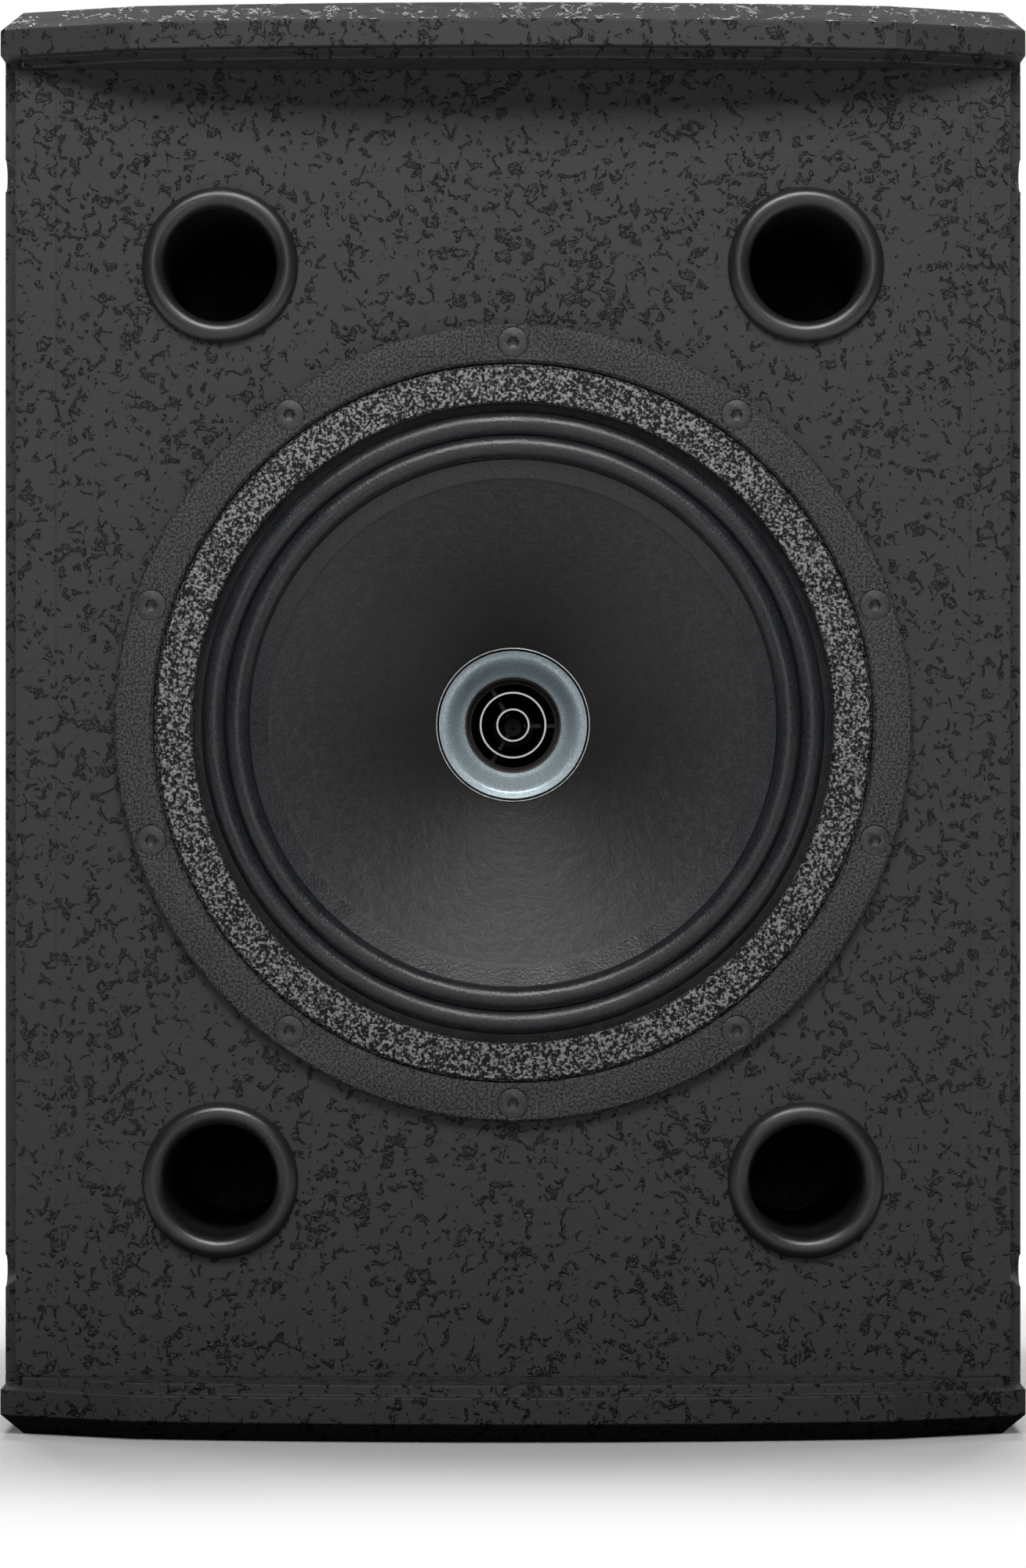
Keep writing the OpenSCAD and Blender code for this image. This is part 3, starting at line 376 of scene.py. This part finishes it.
# camera, light and floor
camera = {"distance": 1.65, "height": 0.2605, "lens": 94.385}  # distance from the baffle, in metres
bpy.ops.object.camera_add(location=(0, baffleY - camera["distance"], camera["height"]),
                          rotation=(math.radians(90), 0, 0))
bpy.context.scene.camera = bpy.context.object
bpy.context.object.data.lens = camera["lens"]
bpy.context.scene.view_settings.view_transform = "Standard"

lamps = {
    "keySoftbox": {"at": (0, -1.75, 1.95), "aim": (0, -0.13, 0.3), "size": (1.5, 0.8), "watts": 47},
    "frontSoftbox": {"at": (0, -2.05, 0.5), "aim": (0, -0.13, 0.25), "size": (0.6, 0.35), "watts": 3},
    "backSoftbox": {"at": (0, 1.12, 1.88), "aim": (0, 0, 0.1), "size": (1.6, 0.5), "watts": 60},
    "leftSoftbox": {"at": (-2.0, 0.9, 1.0), "aim": (-0.2, 0, 0.3), "size": (0.8, 0.8), "watts": 18},
    "rightSoftbox": {"at": (2.0, 0.9, 1.0), "aim": (0.2, 0, 0.3), "size": (0.8, 0.8), "watts": 18},
}
for name, lamp in lamps.items():
    aim = Vector(lamp["aim"]) - Vector(lamp["at"])
    bpy.ops.object.light_add(type="AREA", location=lamp["at"],
                             rotation=aim.to_track_quat("-Z", "Y").to_euler())
    light = bpy.context.object
    light.name = name
    light.data.shape = "RECTANGLE"
    light.data.size, light.data.size_y = lamp["size"]
    light.data.energy = lamp["watts"]

room = {"wall": 1.0, "glow": 0.015}  # brightness of the white room as seen, and as light on the object
world = bpy.data.worlds.new("paleRoom")
world.use_nodes = True
tree = world.node_tree
tree.nodes.clear()
seen = addNode(tree, "Background", {"Color": (1, 1, 1, 1), "Strength": room["wall"]}).outputs[0]
glow = addNode(tree, "Background", {"Color": (1, 1, 1, 1), "Strength": room["glow"]}).outputs[0]
mixed = addNode(tree, "MixShader", links={0: addNode(tree, "LightPath").outputs["Is Camera Ray"], 1: glow,
                2: seen})
addNode(tree, "OutputWorld", links={"Surface": mixed.outputs[0]})
bpy.context.scene.world = world

# the floor: polished and white, and lost in a plain white glow further out; round the base it has a soft
# shadow, painted into the light it bounces
floorPaint = {"white": "f4f4f4", "dark": "181818", "bounce": "c4c4c4", "roughness": 0.16, "fade": 0.2,
              "footprint": (0.205, 0.165, 1.0)}


def paleFloor(name):
    tree, place, material = startMaterial(name)
    half = addNode(tree, "VectorMath", links={0: place}, operation="ABSOLUTE").outputs[0]
    beyond = addNode(tree, "VectorMath", {1: floorPaint["footprint"]}, {0: half},
                     operation="SUBTRACT").outputs[0]
    outside = addNode(tree, "VectorMath", {1: (0, 0, 0)}, {0: beyond}, operation="MAXIMUM").outputs[0]
    away = addNode(tree, "VectorMath", links={0: outside}, operation="LENGTH").outputs["Value"]
    fade = addNode(tree, "MapRange", {"From Max": floorPaint["fade"]}, {"Value": away},
                   interpolation_type="SMOOTHSTEP").outputs[0]
    polish = addNode(tree, "BsdfPrincipled", {"Base Color": fromHex(floorPaint["white"]), "IOR": 1.45,
                     "Roughness": floorPaint["roughness"]}).outputs[0]
    lost = addNode(tree, "Emission", {"Color": (1, 1, 1, 1)}).outputs[0]
    seen = addNode(tree, "MixShader", links={0: fade, 1: polish, 2: lost}).outputs[0]
    # painted shadow: light bounced off the floor darkens towards the base
    paintedBounceShadow = addNode(tree, "Mix", {6: fromHex(floorPaint["dark"]), 7: fromHex(floorPaint["bounce"])}, {0: fade},
                   data_type="RGBA").outputs[2]
    bounced = addNode(tree, "BsdfDiffuse", links={"Color": paintedBounceShadow}).outputs[0]
    mixed = addNode(tree, "MixShader", links={0: addNode(tree, "LightPath").outputs["Is Camera Ray"],
                    1: bounced, 2: seen})
    addNode(tree, "OutputMaterial", links={"Surface": mixed.outputs[0]})
    return material


bpy.ops.mesh.primitive_plane_add(size=9, location=(0, 0, 0))
floor = settle("studioFloor")
floor.data.materials.append(paleFloor("polishedWhiteFloor"))
print("studio ready")


# the driver, from its rim inwards
surroundShape = {"outer": 125.0, "inner": 106.3, "seat": -131.0, "skin": 0.3, "flange": 128.3,
                 "rollSteps": 16, "footGap": 0.2, "lipFold": 98.6, "lipY": -130.6, "lipHalf": 0.25,
                 "lipInset": 0.5, "foldSink": 2.0}


def rollArc(centre, radius, steps, seat):
    # a half circle bulging forwards, from its outer foot to its inner one
    return [(centre + radius * math.cos(math.pi * i / steps), seat - radius * math.sin(math.pi * i / steps))
            for i in range(steps + 1)]


def makeSurround():
    s = surroundShape
    roll = (s["outer"] - s["inner"]) / 4
    front, back = [], []
    for side, path in ((1, front), (-1, back)):
        reach = roll + side * s["skin"]
        seat = s["seat"] - side * s["skin"]
        path.append((s["flange"], seat))
        for centre in (s["outer"] - roll, s["inner"] + roll):
            arc = rollArc(centre, reach, s["rollSteps"], s["seat"])
            path += arc if side < 0 else [p for p in arc if p[1] < s["seat"] - s["footGap"]]
        lipY = s["lipY"] - s["lipHalf"] - side * s["lipHalf"]
        path.append((s["inner"] - s["lipInset"], lipY))
        path.append((s["lipFold"], lipY + s["foldSink"]))
    return lathe("surroundRolls", front + back[::-1] + front[:1], steps=256)


surround = makeSurround()
pucker = {"fine": 170, "broad": 60, "broadShare": 0.6, "height": 0.16}  # doped cloth is never quite smooth
for vertex in surround.data.vertices:
    p = vertex.co
    fineRise = noise.noise(Vector((p.x, p.y * 2, p.z)) * pucker["fine"])
    broadRise = pucker["broadShare"] * noise.noise(p * pucker["broad"])
    vertex.co.y += pucker["height"] * mm * (fineRise + broadRise)
smooth(surround, 50)
print("surround made")

coneShape = {"neck": 31.95, "fold": 98.6, "rim": 105.7, "neckY": -83.0, "foldY": -128.5, "rimY": -130.45,
             "power": 0.9, "thickness": 1.0, "steps": 30, "unevenScale": 55, "uneven": 0.12}


def makeCone():
    c = coneShape
    front = []
    for i in range(c["steps"] + 1):
        t = i / c["steps"]
        front.append((c["neck"] + (c["fold"] - c["neck"]) * t,
                      c["neckY"] + (c["foldY"] - c["neckY"]) * t ** c["power"]))
    front += [(c["rim"], c["rimY"])]
    back = [(r, y + c["thickness"]) for r, y in front]
    return lathe("conePaper", front + back[::-1] + front[:1], steps=256)


cone = makeCone()
for vertex in cone.data.vertices:  # pressed pulp is never quite even
    p = vertex.co
    vertex.co.y += coneShape["uneven"] * mm * noise.noise(p * coneShape["unevenScale"])
smooth(cone, 40)
finishPiece(cone, "cone_assembly", "cone_paper", "cone")
print("cone made")

# waveguide: a turned flare in two stages, with a rolled lip and a bare edge at its throat
flare = {"mouth": 30.6, "throat": 18.8, "mouthY": -80.9, "lip": 0.8, "lipRise": 0.1, "lipSteps": 8,
         "slope": 0.24, "stepR": 28.2, "stepW": 7.6, "stepD": 8.0, "throatR": 21.4, "throatD": 4.0,
         "backY": -50.0, "steps": 44, "bareR": 19.9, "wallInset": 0.6, "rimDepth": 1.5, "undercut": 2.2}


def flareDepth(r):
    # a gentle slope, then a steep step, then the quarter curve that turns into the throat
    stage = min(1.0, max(0.0, (flare["stepR"] - r) / flare["stepW"]))
    curl = min(1.0, max(0.0, (flare["throatR"] - r) / (flare["throatR"] - flare["throat"])))
    return (flare["slope"] * (flare["mouth"] - r) + flare["stepD"] * stage * stage * (3 - 2 * stage)
            + flare["throatD"] * (1 - math.sqrt(1 - curl * curl)))


def makeWaveguide():
    profile = [(flare["throat"], flare["backY"])]
    inner = flare["mouth"] - flare["lip"]
    for i in range(flare["steps"] + 1):
        r = flare["throat"] + (inner - flare["throat"]) * (1 - math.cos(math.pi / 2 * i / flare["steps"]))
        profile.append((r, flare["mouthY"] + flareDepth(r)))
    for i in range(1, flare["lipSteps"] + 1):
        turn = math.pi * i / flare["lipSteps"]
        rise = flare["lipRise"] * math.sin(turn) - flareDepth(inner) * (1 - i / flare["lipSteps"])
        profile.append((inner + flare["lip"] / 2 * (1 - math.cos(turn)), flare["mouthY"] - rise))
    wall = flare["mouth"] - flare["wallInset"]
    profile += [(flare["mouth"], flare["mouthY"] + flare["rimDepth"]),
                (wall, flare["mouthY"] + flare["undercut"]),
                (wall, flare["backY"]), (flare["throat"], flare["backY"])]
    return lathe("flareLacquered", profile, steps=160)


waveguide = makeWaveguide()
smooth(waveguide, 35)
finishPiece(waveguide, "cabinet", "waveguide_lacquer", "waveguide")
waveguide.data.materials.append(finishes["throat_edge"])
for polygon in waveguide.data.polygons:
    radius = math.hypot(polygon.center.x, polygon.center.z - driverZ)
    polygon.material_index = 1 if radius < flare["bareR"] * mm else 0

# ports: one moulded tube with a rounded bead, copied to the four corners
port = {"x": 117.6, "z": 183.7, "bore": 22.6, "bead": 4.4, "wall": 2.5, "length": 112, "flare": 8,
        "steps": 18, "flareSteps": 8, "rim": 1.2, "neck": (3, 4), "tube": 10}
mouthY = baffleY / mm
outer = port["bore"] + port["wall"]
profile = [(outer, mouthY)]
for i in range(port["steps"] + 1):
    turn = math.pi * i / port["steps"]
    profile.append((port["bore"] + port["bead"] + port["bead"] * math.cos(turn),
                    mouthY - port["bead"] * math.sin(turn)))
tailY = mouthY + port["length"]
for i in range(port["flareSteps"] + 1):  # the tail flares as the mouth does; no two points fall together
    turn = math.pi / 2 * i / port["flareSteps"]
    profile.append((port["bore"] + (port["flare"] + port["wall"]) * (1 - math.cos(turn)) + 0.001 * i,
                    tailY - port["flare"] + port["flare"] * math.sin(turn)))
neckOut, neckBack = port["neck"]
profile += [(outer + port["flare"], tailY - port["rim"]), (outer + neckOut, tailY - neckBack),
            (outer, tailY - port["tube"]), (outer, mouthY)]
firstPort = lathe("portTubeTopLeft", profile, 128, -port["x"] * mm, driverZ + port["z"] * mm)
smooth(firstPort, 40)
for name, node, x, z in (("portTubeTopRight", "port_tube_top_right", 2, 0),
                         ("portTubeBottomLeft", "port_tube_bottom_left", 0, -2),
                         ("portTubeBottomRight", "port_tube_bottom_right", 2, -2)):
    tube = twin(firstPort, name, (x * port["x"] * mm, 0, z * port["z"] * mm))
    finishPiece(tube, "cabinet", "port_moulding", node)
finishPiece(firstPort, "cabinet", "port_moulding", "port_tube_top_left")
print("waveguide and ports made")

# flange screws: a countersunk head with a hexagon socket, made once and copied round the circle
screw = {"count": 10, "circle": 152.4, "head": 6.0, "cone": 3, "shank": 2.9, "length": 32, "socket": 2.35,
         "sunk": 0.3, "depth": 2.4, "edge": 0.3}
top = driverZ + screw["circle"] * mm
headY = trimY + screw["sunk"] * mm
headMiddle = headY + screw["cone"] / 2 * mm
bpy.ops.mesh.primitive_cylinder_add(vertices=48, radius=screw["head"] * mm, depth=screw["cone"] * mm,
                                    location=(0, headMiddle, top), rotation=(math.radians(90), 0, 0))
firstScrew = settle("flangeScrew01")
editing(True)
bpy.ops.mesh.select_all(action="DESELECT")
editing(False)
for polygon in firstScrew.data.polygons:
    polygon.select = polygon.normal.y > 0.9
editing(True)
bpy.ops.mesh.select_mode(type="FACE")
share = screw["shank"] / screw["head"]
bpy.ops.transform.resize(value=(share, share, share))
shankLength = (screw["length"] - screw["cone"]) * mm
bpy.ops.mesh.extrude_region_move(TRANSFORM_OT_translate={"value": (0, shankLength, 0)})
editing(False)
socketTurn = (math.radians(90), math.radians(30), 0)
bpy.ops.mesh.primitive_cylinder_add(vertices=6, radius=screw["socket"] * mm, depth=2 * screw["depth"] * mm,
                                    location=(0, headY, top), rotation=socketTurn)
socketTool = settle("socketTool")
applyModifier(firstScrew, "BOOLEAN", object=socketTool, operation="DIFFERENCE", solver="EXACT")
bpy.data.objects.remove(socketTool)
applyModifier(firstScrew, "BEVEL", width=screw["edge"] * mm, segments=2, limit_method="ANGLE",
              angle_limit=math.radians(40))
smooth(firstScrew, 25)
for i in range(1, screw["count"]):
    turn = math.tau * i / screw["count"]
    shift = (screw["circle"] * mm * math.sin(turn), 0, screw["circle"] * mm * (math.cos(turn) - 1))
    finishPiece(twin(firstScrew, f"flangeScrew{i + 1:02d}", shift), "cabinet", "blackened_steel")
finishPiece(firstScrew, "cabinet", "blackened_steel", "trim_screws")
print("screws made")

# cabinet boards and plates: their edges are rounded over by the paint
boards = {
    "topBoard": ("top_panel", 0.5, "textured_paint"), "bottomBoard": ("bottom_panel", 0.5, "textured_paint"),
    "leftSideBoard": ("left_side_panel", 0.4, "textured_paint"),
    "rightSideBoard": ("right_side_panel", 0.4, "textured_paint"),
    "baffleBoard": ("baffle", 0.35, "textured_paint"), "rearBoard": ("rear_panel", 0.5, "textured_paint"),
    "flangeTrim": ("trim_ring", 0.25, "trim_powder_coat"),
    "rearPlate": ("input_plate", 0.4, "plate_powder_coat"),
    "handleLeft": ("left_handle", 0.8, "handle_moulding"),
    "handleRight": ("right_handle", 0.8, "handle_moulding"),
}
for name, (node, width, slot) in boards.items():
    finishPiece(softened(name, node, width, smoothAngle=9 if "Board" in name else 25), "cabinet", slot, node)
print("boards made")

# grip bars: a round bar ribbed for the fingers, modelled once and copied to the other side
grip = {"x": 192, "z": 380, "front": -54, "back": 84, "radius": 10, "ribs": 9, "ribSteps": 12, "ribDeep": 0.7,
        "plain": 16, "shoulder": 1}


def makeGrip(name):
    radius, front, back = grip["radius"], grip["front"], grip["back"]
    steps = grip["ribs"] * grip["ribSteps"]
    start, end = front + grip["plain"], back - grip["plain"]
    profile = [(nearAxis, front), (radius, front), (radius, start - grip["shoulder"])]
    for i in range(steps + 1):
        groove = 0.5 - 0.5 * math.cos(math.tau * grip["ribs"] * i / steps)
        profile.append((radius - grip["ribDeep"] * groove ** 2, start + (end - start) * i / steps))
    profile += [(radius, end + grip["shoulder"]), (radius, back), (nearAxis, back)]
    return lathe(name, profile, 64, -grip["x"] * mm, grip["z"] * mm)


gripLeft = makeGrip("gripLeft")
smooth(gripLeft, 40)
gripRight = twin(gripLeft, "gripRight", (2 * grip["x"] * mm, 0, 0))
finishPiece(gripLeft, "cabinet", "handle_moulding", "left_handle_bar")
finishPiece(gripRight, "cabinet", "handle_moulding", "right_handle_bar")
print("grip bars made")

# selector knob: a skirted grip with finger flutes, turning with its spindle
knob = {"radius": 8.9, "draft": 0.25, "inner": 131.0, "outer": 143.0, "crown": 1.2, "bore": 3.0,
        "faceR": 4.0, "faceSunk": 0.2, "flutes": 18, "fluteDeep": 0.5, "fluteFrom": 7.0, "skirt": 1.5,
        "fade": 3.0, "z": 150, "sideSteps": 8, "crownSteps": 6}
sideLength = knob["outer"] - knob["crown"] - knob["inner"]
profile = [(knob["bore"], knob["inner"]), (knob["radius"], knob["inner"])]
for i in range(1, knob["sideSteps"] + 1):
    share = i / knob["sideSteps"]
    profile.append((knob["radius"] - knob["draft"] * share, knob["inner"] + sideLength * share))
for i in range(1, knob["crownSteps"] + 1):
    turn = math.pi / 2 * i / knob["crownSteps"]
    profile.append((knob["radius"] - knob["draft"] - knob["crown"] * (1 - math.cos(turn)),
                    knob["outer"] - knob["crown"] * (1 - math.sin(turn))))
faceY = knob["outer"] - knob["faceSunk"]
profile += [(knob["faceR"], faceY), (nearAxis, faceY), (nearAxis, knob["inner"]),
            (knob["bore"], knob["inner"])]
knobGrip = lathe("selectorKnob", profile, 144, 0.0, knob["z"] * mm)
for vertex in knobGrip.data.vertices:  # the flutes fade out towards the skirt
    p = vertex.co
    radius = math.hypot(p.x, p.z - knob["z"] * mm)
    if radius > knob["fluteFrom"] * mm:
        turn = math.atan2(p.x, p.z - knob["z"] * mm)
        rise = min(1.0, max(0.0, (p.y / mm - knob["inner"] - knob["skirt"]) / knob["fade"]))
        cut = knob["fluteDeep"] * mm * rise * (0.5 - 0.5 * math.cos(knob["flutes"] * turn)) ** 2
        vertex.co.x -= cut * math.sin(turn)
        vertex.co.z -= cut * math.cos(turn)
smooth(knobGrip, 40)
print("knob made")

# wadding pads: blocks with soft edges and uneven faces
pads = {
    "waddingTop": ((0, 20, 538.1), (298, 158, 17.2)), "waddingRear": ((0, 127.9, 467.5), (278, 17.2, 103)),
    "waddingBottomLeft": ((-100, 20, 31.9), (128, 158, 17.2)),
    "waddingBottomRight": ((100, 20, 31.9), (128, 158, 17.2)),
    "waddingLeft": ((-174.3, 10, 145), (17.2, 178, 188)),
    "waddingRight": ((174.3, 10, 145), (17.2, 178, 188)),
}
wadding = {"cuts": 11, "edge": 5, "edgeSteps": 4, "pull": 0.012, "driftScale": 28}


def makePad(name, centre, size):
    middle = Vector([c * mm for c in centre])
    bpy.ops.mesh.primitive_cube_add(size=1, location=middle, scale=[d * mm for d in size])
    pad = settle(name)
    editing(True)
    bpy.ops.mesh.select_all(action="SELECT")
    bpy.ops.mesh.subdivide(number_cuts=wadding["cuts"])
    editing(False)
    applyModifier(pad, "BEVEL", width=wadding["edge"] * mm, segments=wadding["edgeSteps"],
                  limit_method="ANGLE", angle_limit=math.radians(40))
    for vertex in pad.data.vertices:
        drift = noise.noise(vertex.co * wadding["driftScale"])
        vertex.co += (middle - vertex.co) * (wadding["pull"] + wadding["pull"] * drift)
    smooth(pad, 60)
    return pad


padPieces = [makePad(name, *place) for name, place in pads.items()]
print("wadding made")

# spider: a corrugated cloth disc glued between the former and the frame
spider = {"inner": 32.2, "outer": 74.0, "flange": 78.8, "y": -65.65, "waves": 5, "rise": 1.35, "skin": 0.3,
          "steps": 80, "flatShare": 0.125}


def makeSpider():
    front, back = [], []
    for side, path in ((1, front), (-1, back)):
        skinY = spider["y"] - side * spider["skin"]
        for i in range(spider["steps"] + 1):
            t = i / spider["steps"]
            fade = min(1.0, t / spider["flatShare"], (1 - t) / spider["flatShare"])
            wave = spider["rise"] * fade * math.sin(math.tau * spider["waves"] * t)
            path.append((spider["inner"] + (spider["outer"] - spider["inner"]) * t, skinY + wave))
        path.append((spider["flange"], skinY))
    return lathe("spiderCloth", front + back[::-1] + front[:1], steps=144)


spiderCloth = makeSpider()
smooth(spiderCloth, 60)
print("spider made")

# tinsel leads: braided copper over cotton, each a thin tube from the terminal to the cone
lead = {"x": 9.0, "radius": 0.66, "path": ((-64.3, 199), (-71, 201), (-76, 225), (-88, 244))}


def makeLead(name, x):
    bpy.ops.curve.primitive_bezier_curve_add(location=(0, 0, 0))
    curve = bpy.context.object
    spline = curve.data.splines[0]
    spline.bezier_points.add(len(lead["path"]) - 2)
    for point, (y, z) in zip(spline.bezier_points, lead["path"]):
        point.co = (x * mm, y * mm, z * mm)
        point.handle_left_type = point.handle_right_type = "VECTOR"
    curve.data.bevel_depth = lead["radius"] * mm
    curve.data.bevel_resolution = 4
    curve.data.resolution_u = 10
    curve.data.use_fill_caps = True
    onlySelect(curve)
    bpy.ops.object.convert(target="MESH")
    return settle(name)


leads = [makeLead("tinselLeadLeft", -lead["x"]), makeLead("tinselLeadRight", lead["x"])]
print("tinsel leads made")

# each of these pieces takes its finish, and goes with its body
for pad in padPieces:
    finishPiece(pad, "cabinet", "polyester_wadding")
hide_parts("damping_lining")
finishPiece(knobGrip, "mode_knob", "black_plastic", "mode_switch_knob")


def bendAcross(piece, slot, node, start, end):
    # the piece bends from the fixed cabinet to the moving cone
    piece.data.materials.clear()
    piece.data.materials.append(finishes[slot])
    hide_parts(node)
    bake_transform(piece, "cabinet", "cone_assembly", start=start, end=end)


def bendByRadius(piece, fixed, moving):
    # the share of the cone's travel grows from the fixed radius to the moving one
    bend = piece.data.attributes["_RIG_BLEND"].data
    for vertex in piece.data.vertices:
        radius = math.hypot(vertex.co.x, vertex.co.z - driverZ) / mm
        share = min(1.0, max(0.0, (fixed - radius) / (fixed - moving)))
        bend[vertex.index].value = share * share * (3 - 2 * share)


bendAcross(surround, "surround_cloth", "surround", (0, 0, driverZ + 0.125), (0, 0, driverZ + 0.1063))
bendByRadius(surround, surroundShape["outer"], surroundShape["inner"])
bendAcross(spiderCloth, "spider_cloth", "spider", (0, 0, driverZ + 0.074), (0, 0, driverZ + 0.0325))
bendByRadius(spiderCloth, spider["outer"] - 0.5, spider["inner"] + 1.0)
firstY, firstZ = (value * mm for value in lead["path"][0])
lastY, lastZ = (value * mm for value in lead["path"][-1])
for piece in leads:
    bendAcross(piece, "copper_wire", "tinsel_leads", (0, firstY, firstZ), (0, lastY, lastZ))
print("flexing pieces joined")
